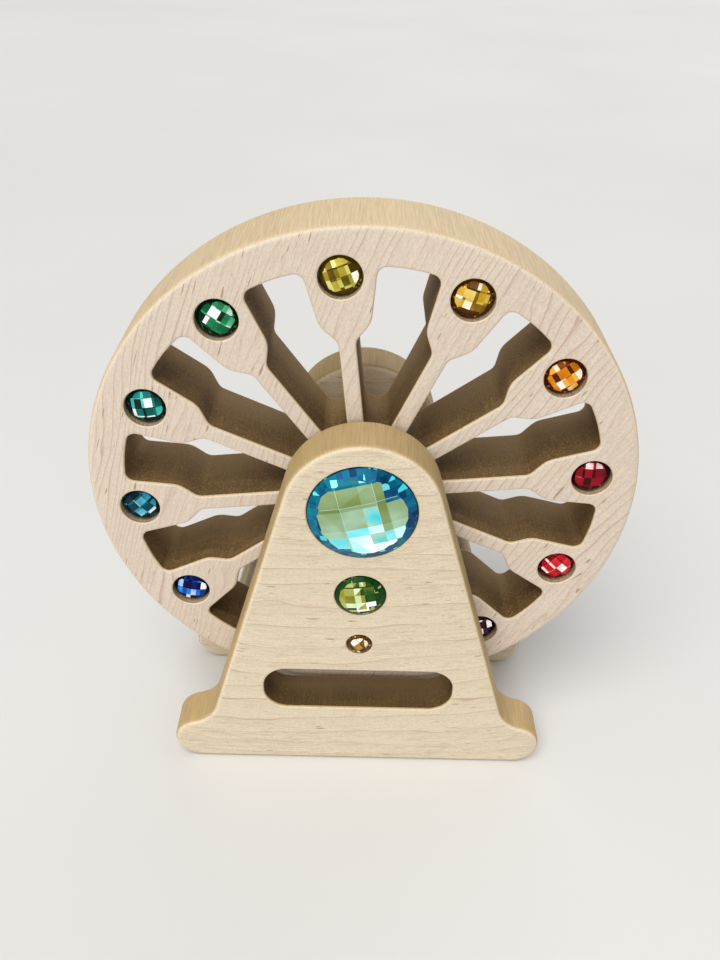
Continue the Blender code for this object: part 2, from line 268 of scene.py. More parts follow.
def build_plate(name, half, outline, openings, pockets, materials):
    """Plate with rounded edges, centred on local Z, with wall materials for its hollows.

    outline and each opening are (points, rounding, wall slot); each pocket is
    (centre, radius, depth, side). Points run counter-clockwise.
    """
    work = bmesh.new()
    rims = {FRONT: [], BACK: []}
    for index, (points, rounding, wall_slot) in enumerate([outline] + openings):
        into_material = 1.0 if index == 0 else -1.0
        rings = [add_ring(work, inset_outline(points, inset * into_material), height)
                 for inset, height in wall_profile(half, rounding)]
        for step, (lower, upper) in enumerate(zip(rings, rings[1:])):
            join_rings(work, lower, upper, wall_slot if step == ROUND_SEGMENTS else FACE_SLOT)
        rims[BACK] += ring_edges(work, rings[0])
        rims[FRONT] += ring_edges(work, rings[-1])
    for centre, radius, depth, side in pockets:
        rings = []
        for ring_radius, fall in (
                (radius + POCKET_CHAMFER, 0.0), (radius, POCKET_CHAMFER), (radius, depth)):
            points = [centre + point for point in circle_outline(ring_radius, SMALL_CIRCLE_STEPS)]
            rings.append(add_ring(work, points, side * (half - fall)))
        mouth, top, bottom = rings
        join_rings(work, mouth, top, FACE_SLOT)
        join_rings(work, top, bottom, POCKET_SLOT)
        work.faces.new(bottom)
        rims[side] += ring_edges(work, mouth)
    for edges in rims.values():
        bmesh.ops.triangle_fill(work, edges=edges, use_beauty=True)
    bmesh.ops.recalc_face_normals(work, faces=work.faces)
    plate = add_piece(name, work, materials)
    plate.data.shade_smooth()
    plate.data.set_sharp_from_angle(angle=SHARP_ANGLE)
    normals = plate.modifiers.new("flat_faces", "WEIGHTED_NORMAL")
    normals.keep_sharp = True
    return plate


def stand_up(piece, place, body, node):
    """Turn a flat piece upright at its place, on its CAD body, and let it replace its node."""
    piece.matrix_world = Matrix.Translation(place) @ UPRIGHT @ piece.matrix_world
    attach(piece, body)
    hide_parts(node)


# ---------------------------------------------------------------- shader helpers

# Sockets of the mix node that share their names with others
COLOUR_A = 6
COLOUR_B = 7
COLOUR_RESULT = 2
NUMBER_A = 2
NUMBER_B = 3


class Shader:
    """Node material with short calls for the nodes used here."""

    def __init__(self, name):
        self.material = bpy.data.materials.new(name)
        self.material.use_nodes = True
        self.tree = self.material.node_tree
        self.surface = self.tree.nodes["Principled BSDF"]
        coordinates = self.add("ShaderNodeTexCoord")
        self.place = coordinates.outputs["Object"]
        self.normal = coordinates.outputs["Normal"]

    def add(self, kind, inputs=None, **settings):
        node = self.tree.nodes.new(kind)
        for key, value in settings.items():
            setattr(node, key, value)
        for key, value in (inputs or {}).items():
            self.feed(node.inputs[key], value)
        return node

    def feed(self, socket, value):
        if isinstance(value, bpy.types.NodeSocket):
            self.tree.links.new(value, socket)
        else:
            socket.default_value = value

    def set(self, name, value):
        self.feed(self.surface.inputs[name], value)

    def math(self, operation, first, second=0.0):
        return self.add("ShaderNodeMath", {0: first, 1: second}, operation=operation).outputs[0]

    def vector(self, operation, first, second=(0.0, 0.0, 0.0)):
        return self.add("ShaderNodeVectorMath", {0: first, 1: second}, operation=operation).outputs[0]

    def part(self, vector, axis):
        """X, Y or Z of a vector."""
        return self.add("ShaderNodeSeparateXYZ", {"Vector": vector}).outputs[axis]

    def place_in_mm(self):
        return self.vector("MULTIPLY", self.place, (1000.0,) * 3)

    def noise(self, vector, scales, detail=2.0, roughness=0.5, distortion=0.0):
        """Noise with its own scale along each axis."""
        node = self.add("ShaderNodeTexNoise", {
            "Vector": self.vector("MULTIPLY", vector, scales), "Scale": 1.0, "Detail": detail,
            "Roughness": roughness, "Distortion": distortion})
        return node.outputs["Fac"]

    def dice(self, vector):
        """Even random value for each different vector."""
        return self.add("ShaderNodeTexWhiteNoise", {"Vector": vector}).outputs["Value"]

    def spread(self, value, low, high, new_low=0.0, new_high=1.0, smooth=False):
        """Value moved, and clamped, from the range low to high into a new range."""
        node = self.add("ShaderNodeMapRange", {
            "Value": value, "From Min": low, "From Max": high, "To Min": new_low, "To Max": new_high})
        if smooth:
            node.interpolation_type = "SMOOTHSTEP"
        return node.outputs[0]

    def mix(self, share, first, second):
        """Blend from the first to the second colour; the second can be plain numbers."""
        if isinstance(second, tuple):
            second = (*second, 1.0)
        node = self.add("ShaderNodeMix", {0: share, COLOUR_A: first, COLOUR_B: second}, data_type="RGBA")
        return node.outputs[COLOUR_RESULT]

    def ramp(self, value, stops):
        """Colour of a value between (position, colour) stops."""
        node = self.add("ShaderNodeValToRGB", {"Fac": value})
        elements = node.color_ramp.elements
        while len(elements) < len(stops):
            elements.new(0.5)
        for element, (position, colour) in zip(elements, stops):
            element.position = position
            element.color = (*colour, 1.0)
        return node.outputs[0]

    def roughen(self, height, strength, distance):
        """Fine relief of the surface."""
        bump = self.add("ShaderNodeBump", {"Height": height, "Strength": strength, "Distance": distance})
        self.set("Normal", bump.outputs[0])


def shade(colour, factor):
    """Colour scaled darker or lighter."""
    return tuple(min(1.0, part * factor) for part in colour)


# ---------------------------------------------------------------- wood

MAPLE_CREAM = (0.684, 0.584, 0.426)
MAPLE_PINK = (0.658, 0.560, 0.458)
MAPLE_LINE = (0.380, 0.180, 0.100)
MINERAL_FLECK = (0.230, 0.110, 0.040)
RIM_TAN = (0.640, 0.495, 0.300)
ARCH_TAN = (0.485, 0.345, 0.160)
SCORCHED = (0.150, 0.091, 0.035)
POCKET_TAN = (0.400, 0.285, 0.185)
# Painted highlight along the rounded edges
EDGE_HIGHLIGHT_TINT = (0.800, 0.670, 0.490)
DOWEL_TAN = (0.560, 0.400, 0.215)

# Growth lines, in mm, and the phase where each is darkest
LINE_WIDTH = 0.36
LINE_WANDER = 14.0
LINE_PEAK = 0.985


def grain_space(shader, grain_angle, bend, seed):
    """Place in mm with X along the grain, which bend curves, in 1/mm."""
    in_mm = shader.place_in_mm()
    x = shader.part(in_mm, "X")
    bow = shader.math("MULTIPLY", shader.math("MULTIPLY", x, x), bend)
    turned = shader.add("ShaderNodeVectorRotate", {"Vector": in_mm, "Angle": -grain_angle})
    bow_vector = shader.add("ShaderNodeCombineXYZ", {"Y": bow})
    bowed = shader.vector("ADD", turned.outputs[0], bow_vector.outputs[0])
    return shader.vector("ADD", bowed, (seed, seed * 0.7, seed * 1.3))


def growth_lines(shader, grain, patches, spacing):
    """Strength of the growth lines, and of the late wood that darkens towards each."""
    wobble = shader.noise(grain, (0.016, 0.075, 0.060), detail=3.0, roughness=0.45)
    wandering = shader.math("ADD", shader.part(grain, "Y"), shader.math("MULTIPLY", wobble, LINE_WANDER))
    phase = shader.math("FRACT", shader.math("DIVIDE", wandering, spacing))
    line_start = 1.0 - LINE_WIDTH / spacing
    line = shader.math("MULTIPLY", shader.spread(phase, line_start, LINE_PEAK, smooth=True),
                       shader.spread(phase, 1.0, LINE_PEAK))
    line = shader.math("MULTIPLY", line, shader.spread(patches, 0.36, 0.60, 0.15, 1.0))
    return line, shader.spread(phase, 0.35, line_start)


def fine_lines(shader, grain, patches):
    """Thin, wavy lines along the grain, strongest where the growth lines are weak."""
    wave = shader.noise(grain, (0.075, 0.85, 0.80), distortion=0.3)
    from_middle = shader.math("ABSOLUTE", shader.math("SUBTRACT", wave, 0.5))
    line = shader.spread(from_middle, 0.050, 0.0, smooth=True)
    return shader.math("MULTIPLY", line, shader.spread(patches, 0.62, 0.38, 0.35, 1.0))


def edge_streaks(shader, grain, edge):
    """Colour of the edges, with streaks across the thickness."""
    streak = shader.noise(grain, (3.0, 3.0, 0.12), roughness=0.6)
    broad = shader.noise(grain, (0.10, 0.10, 0.02), detail=1.0)
    dark_streak = (0.88 * edge[0], 0.79 * edge[1], 0.73 * edge[2])
    streaks = shader.ramp(streak, [(0.30, dark_streak), (0.50, edge), (0.70, shade(edge, 1.16))])
    return shader.mix(shader.spread(broad, 0.35, 0.65, 0.0, 0.35), streaks, shade(edge, 1.12))


def maple(name, face, edge, grain_angle, bend, seed, line_spacing, line_strength, wave_strength):
    """Sanded maple: long grain on the faces, streaks across the thickness on the edges.

    The grain runs at grain_angle from local X; bend curves its lines, in 1/mm. Growth
    lines are line_spacing mm apart. A few dark mineral flecks lie in the faces, and a
    pale band of painted highlight runs along the rounded edges.
    """
    shader = Shader(name)
    grain = grain_space(shader, grain_angle, bend, seed)
    patches = shader.noise(grain, (0.022, 0.050, 0.050))
    growth, late_wood = growth_lines(shader, grain, patches, line_spacing)
    fine_line = fine_lines(shader, grain, patches)
    fibre = shader.noise(grain, (0.22, 2.8, 2.8), detail=3.0, roughness=0.6)
    speckle = shader.noise(grain, (1.6, 3.4, 3.4), roughness=0.6)
    fleck = shader.noise(grain, (0.22, 1.5, 1.5), detail=0.0)
    tone = shader.noise(grain, (0.010, 0.035, 0.03), detail=1.0)

    colour = shader.ramp(tone, [(0.35, shade(face, 0.95)), (0.65, shade(face, 1.04))])
    fibre_tint = shader.ramp(fibre, [(0.30, shade(face, 0.84)), (0.50, face), (0.70, shade(face, 1.12))])
    colour = shader.mix(0.5, colour, fibre_tint)
    speckle_tint = shader.ramp(speckle, [(0.32, shade(face, 0.80)), (0.50, face), (0.68, shade(face, 1.16))])
    colour = shader.mix(0.52, colour, speckle_tint)
    colour = shader.mix(shader.math("MULTIPLY", late_wood, 0.3 * line_strength), colour, shade(face, 0.72))
    colour = shader.mix(shader.math("MULTIPLY", growth, line_strength), colour, MAPLE_LINE)
    colour = shader.mix(shader.math("MULTIPLY", fine_line, wave_strength), colour, MAPLE_LINE)
    colour = shader.mix(shader.spread(fleck, 0.78, 0.82, 0.0, 0.6), colour, MINERAL_FLECK)

    facing = shader.math("ABSOLUTE", shader.part(shader.normal, "Z"))
    sideways = shader.math("SUBTRACT", 1.0, facing)
    on_edge = shader.spread(sideways, 0.12, 0.60, smooth=True)
    colour = shader.mix(on_edge, colour, edge_streaks(shader, grain, edge))
    # Painted highlight: a pale band along the rounded edges, where they turn towards the light, broken up by
    # the speckle
    edge_highlight = shader.math("MULTIPLY", shader.spread(sideways, 0.03, 0.16, smooth=True),
                      shader.spread(sideways, 0.46, 0.22, smooth=True))
    edge_highlight = shader.math("MULTIPLY", edge_highlight, shader.spread(speckle, 0.35, 0.65, 0.30, 0.75))
    shader.set("Base Color", shader.mix(edge_highlight, colour, EDGE_HIGHLIGHT_TINT))

    shader.set("Roughness", shader.spread(fibre, 0.3, 0.7, 0.50, 0.66))
    shader.set("Specular IOR Level", 0.28)
    relief = shader.math("MULTIPLY", fibre, 0.5)
    relief = shader.math("SUBTRACT", relief, shader.math("MULTIPLY", fine_line, 0.2))
    relief = shader.math("SUBTRACT", relief, shader.math("MULTIPLY", growth, 0.25))
    relief = shader.math("ADD", relief, shader.math("MULTIPLY", speckle, 0.7))
    shader.roughen(relief, strength=0.4, distance=0.12 * MM)
    return shader.material


def routed_wood(name, tint, half_thickness, seed):
    """Walls left by the router: brown from the heat, with painted light that makes them paler towards the
    back, and a rough bite.
    """
    shader = Shader(name)
    moved = shader.vector("ADD", shader.place_in_mm(), (seed, seed, seed))
    marks = shader.noise(moved, (2.0, 2.0, 0.12), detail=3.0, roughness=0.7)
    passes = shader.noise(moved, (0.05, 0.05, 0.50))
    scorch = shader.noise(moved, (0.12, 0.12, 0.05))
    grit = shader.noise(moved, (2.6, 2.6, 2.6), roughness=0.7)

    colour = shader.ramp(marks, [(0.25, shade(tint, 0.70)), (0.50, tint), (0.75, shade(tint, 1.35))])
    colour = shader.mix(shader.spread(scorch, 0.35, 0.65, 0.0, 0.5), colour, shade(tint, 0.60))
    colour = shader.mix(shader.spread(passes, 0.50, 0.66, 0.0, 0.25), colour, shade(tint, 1.8))
    # Painted light: the walls are paler towards the back face, where more light reaches them
    depth = shader.part(shader.place, "Z")
    painted_back_light = shader.spread(depth, half_thickness * 0.5, -half_thickness, smooth=True)
    pale = (3.0 * tint[0], 3.4 * tint[1], 4.4 * tint[2])
    colour = shader.mix(shader.math("MULTIPLY", painted_back_light, 0.75), colour, pale)
    colour = shader.mix(shader.spread(grit, 0.54, 0.70, 0.0, 0.5), colour, shade(tint, 3.4))
    colour = shader.mix(shader.spread(grit, 0.44, 0.30, 0.0, 0.5), colour, shade(tint, 0.4))
    shader.set("Base Color", colour)
    shader.set("Roughness", shader.spread(marks, 0.3, 0.7, 0.65, 0.85))
    shader.set("Specular IOR Level", 0.15)
    shader.roughen(shader.math("ADD", marks, grit), strength=0.5, distance=0.15 * MM)
    return shader.material


# ---------------------------------------------------------------- gems

def grind_facet(work, point, normal):
    """Cut everything beyond a plane off a convex body and close the cut."""
    geometry = work.verts[:] + work.edges[:] + work.faces[:]
    result = bmesh.ops.bisect_plane(
        work, geom=geometry, dist=CUT_TOLERANCE, plane_co=point, plane_no=normal, clear_outer=True)
    rim = [item for item in result["geom_cut"] if isinstance(item, bmesh.types.BMEdge)]
    open_rim = [edge for edge in rim if edge.is_boundary]
    if open_rim:
        bmesh.ops.edgeloop_fill(work, edges=open_rim)


def gem_bmesh(radius, girdle, crown, facets_across, bezel_count):
    """Flat-backed cut gem: round girdle, a bezel of steep facets and a domed grid on top."""
    bezel_width = BEZEL_WIDTH_SHARE * radius
    bezel_rise = BEZEL_RISE_SHARE * crown
    dome_radius = radius - bezel_width
    dome_rise = crown - bezel_rise
    ball_radius = (dome_radius ** 2 + dome_rise ** 2) / (2 * dome_rise)
    ball_centre = Vector((0.0, 0.0, girdle + crown - ball_radius))
    blank = girdle + 2 * crown
    work = bmesh.new()
    bmesh.ops.create_cone(
        work, cap_ends=True, segments=SMALL_CIRCLE_STEPS, radius1=radius, radius2=radius,
        depth=blank, matrix=Matrix.Translation((0.0, 0.0, blank / 2)))
    pitch = 2 * radius / facets_across
    reach = (facets_across + 1) // 2
    offset = 0.0 if facets_across % 2 else 0.5
    for column in range(-reach, reach + 1):
        for row in range(-reach, reach + 1):
            x = (column + offset) * pitch
            y = (row + offset) * pitch
            across = math.hypot(x, y)
            if across > GRID_REACH_SHARE * radius:
                continue
            rise = math.sqrt(ball_radius ** 2 - across ** 2)
            normal = Vector((x, y, rise)).normalized()
            grind_facet(work, ball_centre + normal * ball_radius, normal)
    edge_reach = radius * math.cos(math.pi / bezel_count)
    for index in range(bezel_count):
        angle = 2 * math.pi * (index + 0.5) / bezel_count
        around = Vector((math.cos(angle), math.sin(angle), 0.0))
        normal = (around * bezel_rise + Vector((0.0, 0.0, bezel_width))).normalized()
        grind_facet(work, around * edge_reach + Vector((0.0, 0.0, girdle)), normal)
    bmesh.ops.remove_doubles(work, verts=work.verts, dist=MERGE_DISTANCE)
    bmesh.ops.recalc_face_normals(work, faces=work.faces)
    return work


# Painted reflections of a gem's foil: how far a tilted facet and the eye move the look across it,
# how finely facets and splinters are told apart, and where its top and bottom are
TILT_REACH = 2.2
EYE_REACH = -0.45
FACET_STEPS = 60.0
SPLINTERS_PER_RADIUS = 8.0
LOOK_TOP = 0.4
LOOK_BOTTOM = -0.75
STEEP_MARGIN = 0.02


def foiled_gem(name, radius, crown, stops, seed, cells=1.9, levels=(0.5, 0.5), spreads=(1.7, 1.7),
               bezel_level=0.12, glint_share=0.05, glint_level=0.5, sink=0.10, border=0.90, glow=0.12):
    """Tinted acrylic over a mirrored back, with painted reflections: broken, facet by facet, into dark and
    bright cells.

    Each cell's level of painted reflection comes from the facet that is looked through and from where the
    look lands on the mirrored back; levels and spreads are its mean and range at the
    gem's top and bottom, painting it lighter or darker from top to bottom. stops run from the darkest level
    to the brightest. The steep facets get painted dark reflections, up to bezel_level, with a share of
    painted glints. So do cells beyond border, in gem radii from a middle that sink moves with the eye, as a
    painted shaded rim.
    """
    shader = Shader(name)
    place = shader.vector("MULTIPLY", shader.place, (1 / radius,) * 3)
    incoming = shader.add("ShaderNodeNewGeometry").outputs["Incoming"]
    to_eye = shader.add("ShaderNodeVectorTransform", {0: incoming}, vector_type="VECTOR",
                        convert_from="WORLD", convert_to="OBJECT").outputs[0]
    bent = shader.vector("ADD", shader.vector("MULTIPLY", shader.normal, (TILT_REACH, TILT_REACH, 0.0)),
                         shader.vector("MULTIPLY", to_eye, (EYE_REACH, EYE_REACH, 0.0)))
    look = shader.vector("MULTIPLY", shader.vector("ADD", place, bent), (cells, cells, 0.0))
    grid = shader.vector("FLOOR", look)
    cell = shader.dice(shader.vector("ADD", grid, (seed + 0.5, seed * 1.7 + 0.5, 0.5)))
    rounded = shader.vector("FLOOR", shader.vector("MULTIPLY", shader.normal, (FACET_STEPS,) * 3))
    facet = shader.dice(shader.vector("ADD", rounded, (seed * 2.3 + 0.5, 0.5, seed + 0.5)))
    splinter_place = shader.vector("MULTIPLY", place, (SPLINTERS_PER_RADIUS, SPLINTERS_PER_RADIUS, 0.0))
    facet_offset = shader.add("ShaderNodeCombineXYZ", {"X": seed, "Y": facet, "Z": 0.5}).outputs[0]
    splinter = shader.dice(shader.vector("ADD", shader.vector("FLOOR", splinter_place), facet_offset))

    grid_middle = shader.vector("ADD", grid, (0.5, 0.5, 0.0))
    middle = shader.vector("SUBTRACT", shader.vector("MULTIPLY", grid_middle, (1 / cells,) * 3), bent)
    height = shader.part(middle, "Y")
    mean = shader.spread(height, LOOK_TOP, LOOK_BOTTOM, *levels)
    spread = shader.spread(height, LOOK_TOP, LOOK_BOTTOM, *spreads)
    roll = shader.math("ADD", shader.math("MULTIPLY", cell, 0.5), shader.math("MULTIPLY", facet, 0.5))
    roll = shader.math("MULTIPLY", shader.math("SUBTRACT", roll, 0.5), spread)
    sheen = shader.noise(place, (1.6, 2.4, 2.0), detail=1.0)
    level = shader.math("ADD", shader.math("ADD", mean, roll), shader.spread(sheen, 0.3, 0.7, -0.05, 0.05))

    # Painted shade and reflections: the steep facets, and cells beyond border from a middle moved with the
    # eye, get dim levels with a share of painted glints
    moved = shader.vector("ADD", middle, shader.vector("MULTIPLY", to_eye, (-sink, -sink, 0.0)))
    flat = shader.vector("MULTIPLY", moved, (1.0, 1.0, 0.0))
    distance = shader.add("ShaderNodeVectorMath", {0: flat}, operation="LENGTH").outputs["Value"]
    bezel_slope = BEZEL_RISE_SHARE * crown / (BEZEL_WIDTH_SHARE * radius)
    steep_limit = 1.0 / math.hypot(1.0, bezel_slope) + STEEP_MARGIN
    steep = shader.math("LESS_THAN", shader.part(shader.normal, "Z"), steep_limit)
    dark = shader.math("MAXIMUM", steep, shader.math("GREATER_THAN", distance, border))
    glint = shader.math("MULTIPLY", shader.math("LESS_THAN", splinter, glint_share), glint_level)
    dim = shader.math("MULTIPLY", shader.math("ADD", facet, splinter), 0.5 * bezel_level)
    dim_or_glint = shader.math("ADD", dim, glint)
    level = shader.add("ShaderNodeMix", {0: dark, NUMBER_A: level, NUMBER_B: dim_or_glint},
                       data_type="FLOAT").outputs[0]

    colour = shader.ramp(level, stops)
    shader.set("Base Color", colour)
    # Painted light: the gem glows by emission in its own colour, though it is no lamp
    shader.set("Emission Color", colour)
    shader.set("Emission Strength", glow)
    shader.set("Metallic", 0.35)
    shader.set("Specular IOR Level", 0.10)
    swirl = shader.noise(place, (3.0, 3.0, 3.0), detail=1.0)
    shader.set("Roughness", shader.spread(swirl, 0.3, 0.7, 0.08, 0.20))
    shader.set("Coat Weight", 0.10)
    shader.set("Coat Roughness", 0.03)
    return shader.material


def painted_facet_highlight(name, colour):
    """Thin painted highlight along the edge between two facets."""
    shader = Shader(name)
    highlight_noise = shader.noise(shader.place, (900.0,) * 3, detail=1.0)
    shader.set("Base Color", shader.ramp(highlight_noise, [(0.3, shade(colour, 0.8)), (0.7, colour)]))
    shader.set("Roughness", shader.spread(highlight_noise, 0.3, 0.7, 0.15, 0.35))
    shader.set("Coat Weight", 0.4)
    return shader.material


def level_stops(dark, deep, mid, light, white=(0.95, 0.95, 0.92)):
    """Five levels of a foiled gem, from its shadows to its glints."""
    return [(0.05, dark), (0.30, deep), (0.54, mid), (0.78, light), (0.94, white)]


RIM_GEM_LOOKS = {
    "red": level_stops((0.03, 0.0, 0.0), (0.10, 0.0, 0.003), (0.27, 0.002, 0.010), (0.46, 0.015, 0.03)),
    "orange": level_stops((0.08, 0.008, 0.0), (0.28, 0.06, 0.0), (0.68, 0.23, 0.004), (0.88, 0.48, 0.07)),
    "gold": level_stops((0.07, 0.018, 0.0), (0.22, 0.12, 0.003), (0.56, 0.34, 0.018), (0.80, 0.64, 0.20)),
    "yellow": level_stops((0.06, 0.035, 0.0), (0.20, 0.15, 0.006), (0.48, 0.40, 0.05), (0.80, 0.76, 0.26)),
    "green": level_stops((0.0, 0.012, 0.004), (0.0, 0.065, 0.018), (0.01, 0.20, 0.075), (0.10, 0.52, 0.27)),
    "sea_green": level_stops((0.0, 0.012, 0.012), (0.0, 0.055, 0.045), (0.0, 0.18, 0.15), (0.07, 0.50, 0.44)),
    "petrol_blue": level_stops((0.0, 0.012, 0.02), (0.0, 0.06, 0.10), (0.01, 0.19, 0.27), (0.10, 0.48, 0.60)),
    "royal_blue": level_stops((0.0, 0.0, 0.035), (0.0, 0.012, 0.17), (0.0, 0.07, 0.48), (0.02, 0.28, 0.80)),
    "violet": level_stops((0.008, 0.0, 0.03), (0.035, 0.006, 0.15), (0.11, 0.03, 0.40), (0.30, 0.18, 0.72)),
    "purple": level_stops((0.015, 0.0, 0.02), (0.07, 0.003, 0.11), (0.22, 0.02, 0.30), (0.48, 0.16, 0.58)),
    "plum": level_stops((0.003, 0.0, 0.002), (0.02, 0.0, 0.008), (0.06, 0.002, 0.022), (0.20, 0.03, 0.08)),
    "bright_red": level_stops((0.05, 0.0, 0.0), (0.22, 0.0, 0.003), (0.48, 0.003, 0.010), (0.72, 0.04, 0.05)),
}

AQUA_STOPS = [
    (0.00, (0.0, 0.012, 0.050)), (0.12, (0.0, 0.065, 0.16)), (0.24, (0.0, 0.17, 0.24)),
    (0.36, (0.16, 0.22, 0.045)), (0.50, (0.25, 0.37, 0.21)), (0.62, (0.38, 0.60, 0.46)),
    (0.69, (0.03, 0.56, 0.66)), (0.80, (0.30, 0.80, 0.90)), (0.90, (0.60, 0.90, 0.96)),
    (0.98, (0.97, 0.99, 1.0)),
]
GREEN_STOPS = [
    (0.04, (0.0, 0.030, 0.004)), (0.22, (0.02, 0.09, 0.01)), (0.36, (0.20, 0.19, 0.02)),
    (0.54, (0.38, 0.38, 0.08)), (0.74, (0.55, 0.70, 0.36)), (0.92, (0.92, 0.98, 0.95)),
]
AMBER_STOPS = [
    (0.04, (0.06, 0.025, 0.0)), (0.24, (0.20, 0.10, 0.015)), (0.42, (0.46, 0.27, 0.05)),
    (0.62, (0.68, 0.50, 0.22)), (0.88, (0.96, 0.90, 0.78)),
]


# ---------------------------------------------------------------- pieces

def wheel_placement():
    """Wheel's centre, radius and half thickness, from its CAD node."""
    low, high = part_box("wheel")
    return (low + high) / 2, (high.x - low.x) / 2, (high.y - low.y) / 2


def rim_gem_places(circle_radius):
    """Centre of each wheel gem in the wheel's plane, counter-clockwise."""
    angles = [FIRST_SPOKE_ANGLE + index * SPOKE_PITCH for index in range(SPOKE_COUNT)]
    return [Vector((circle_radius * math.cos(angle), circle_radius * math.sin(angle)))
            for angle in angles]


def build_wheel():
    centre, radius, half = wheel_placement()
    outline = (circle_outline(radius, WHEEL_STEPS), WHEEL_ROUND, FACE_SLOT)
    middles = [FIRST_SPOKE_ANGLE + (index + 0.5) * SPOKE_PITCH for index in range(SPOKE_COUNT)]
    openings = [(wheel_slot_outline(angle), SLOT_ROUND, OPENING_SLOT) for angle in middles]
    openings.append((circle_outline(AXLE_BORE_RADIUS, SMALL_CIRCLE_STEPS), POCKET_CHAMFER, FACE_SLOT))
    gem_low, gem_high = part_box("rim_gem_red")
    gem_centre = (gem_low + gem_high) / 2 - centre
    circle_radius = math.hypot(gem_centre.x, gem_centre.z)
    pockets = [(place, RIM_POCKET_RADIUS, RIM_POCKET_DEPTH, FRONT)
               for place in rim_gem_places(circle_radius)]
    wheel = build_plate("wheel_wood", half, outline, openings, pockets, [
        maple("wheel_maple", MAPLE_PINK, RIM_TAN, grain_angle=math.radians(68.0), bend=0.003, seed=31.0,
              line_spacing=1.7, line_strength=0.46, wave_strength=0.14),
        routed_wood("slot_walls", SCORCHED, half, seed=5.0),
        routed_wood("wheel_pocket_walls", POCKET_TAN, half, seed=9.0)])
    stand_up(wheel, centre, "wheel", "wheel")


def build_stand_plate(name, node, grain_seed, side, gems):
    """One stand plate; side tells where its outer face looks."""
    low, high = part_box(node)
    half = (high.y - low.y) / 2
    middle = (low.y + high.y) / 2
    axle_low, axle_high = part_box("axle")
    axle_place = Vector((0.0, (axle_low.z + axle_high.z) / 2))
    pockets = [(axle_place, AXLE_BORE_RADIUS, AXLE_BORE_DEPTH, -side)]
    for gem in gems:
        gem_low, gem_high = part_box(gem)
        gem_place = Vector((0.0, (gem_low.z + gem_high.z) / 2))
        pockets.append((gem_place, (gem_high.z - gem_low.z) / 2 + GEM_CLEARANCE,
                        gem_high.y + GEM_CLEARANCE - low.y, side))
    plate = build_plate(
        name, half, (stand_outline(high.x, high.z), PLATE_ROUND, FACE_SLOT),
        [(window_outline(), WINDOW_ROUND, OPENING_SLOT)], pockets, [
            maple(name + "_maple", MAPLE_CREAM, ARCH_TAN, grain_angle=math.radians(2.0), bend=-0.0015,
                  seed=grain_seed, line_spacing=5.5, line_strength=0.62, wave_strength=0.28),
            # Painted shade: the window walls are darker still, as little light reaches inside the window
            routed_wood(name + "_window_walls", shade(SCORCHED, 0.75), half, grain_seed),
            routed_wood(name + "_pocket_walls", POCKET_TAN, half, grain_seed)])
    stand_up(plate, Vector((0.0, middle, 0.0)), "stand", node)


def build_gem(node, body, turn, girdle_share, facets_across, bezel_count, stops, seed,
              facet_highlight_colour=None, **look):
    """Cut gem in the box of its CAD node, turned about its middle.

    girdle_share is the girdle's part of the height; an edge colour, when given, paints highlights along the
    edges of the dome's facets.
    """
    low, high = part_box(node)
    radius = (high.z - low.z) / 2
    height = high.y - low.y
    girdle = height * girdle_share
    foil = foiled_gem(node + "_foil", radius, height - girdle, stops, seed, **look)
    work = gem_bmesh(radius, girdle, height - girdle, facets_across, bezel_count)
    # Painted highlight: a thin bevel along the dome's facet edges gets a light colour
    if facet_highlight_colour:
        facet_edges = [edge for edge in work.edges
                       if min(face.normal.z for face in edge.link_faces) > DOME_FACET_RISE]
        highlit_bevel = bmesh.ops.bevel(work, geom=facet_edges, offset=FACET_EDGE, segments=1, affect="EDGES")
        for face in highlit_bevel["faces"]:
            face.material_index = FACET_HIGHLIGHT_SLOT
        gem = add_piece(node + "_cut", work, [foil, painted_facet_highlight(node + "_edges", facet_highlight_colour)])
    else:
        gem = add_piece(node + "_cut", work, [foil])
    gem.matrix_world = Matrix.Rotation(turn, 4, "Z")
    middle = (low + high) / 2
    stand_up(gem, Vector((middle.x, high.y, middle.z)), body, node)


def build_gems():
    for index, (colour, stops) in enumerate(RIM_GEM_LOOKS.items()):
        spread = RED_GEM_SPREAD if "red" in colour else RIM_GEM_SPREAD
        build_gem("rim_gem_" + colour, "wheel", turn=index * RIM_GEM_TURN_STEP, girdle_share=0.58,
                  facets_across=4, bezel_count=24, stops=stops, seed=3.0 + index,
                  spreads=(spread, spread))
    # The stand gems' levels paint their reflections brighter towards the bottom
    build_gem("large_aqua_gem", "stand", turn=math.radians(15.0), girdle_share=0.67,
              facets_across=3, bezel_count=24, stops=AQUA_STOPS, seed=14.0,
              facet_highlight_colour=(0.50, 0.68, 0.62), cells=2.3, levels=(0.40, 0.74), spreads=(0.20, 1.0),
              bezel_level=0.30, glint_share=0.10, glint_level=0.65, sink=-0.18, border=0.86, glow=0.22)
    build_gem("medium_green_gem", "stand", turn=math.radians(8.0), girdle_share=0.75,
              facets_across=5, bezel_count=24, stops=GREEN_STOPS, seed=21.0,
              levels=(0.42, 0.72), spreads=(0.8, 1.5), sink=-0.05, border=0.80, glow=0.2)
    build_gem("small_amber_gem", "stand", turn=math.radians(40.0), girdle_share=0.76,
              facets_across=3, bezel_count=16, stops=AMBER_STOPS, seed=4.0,
              cells=1.5, levels=(0.45, 0.65), glow=0.2)


def dress_axle():
    """Wood for the CAD nodes that keep their own shape."""
    turned = maple("turned_dowel", DOWEL_TAN, DOWEL_TAN, grain_angle=0.0, bend=0.0, seed=77.0,
                   line_spacing=3.0, line_strength=0.3, wave_strength=0.2)
    for node in ("axle", "front_spacer", "back_spacer"):
        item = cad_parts[node]
        item.data.materials.clear()
        item.data.materials.append(turned)


# ---------------------------------------------------------------- stage

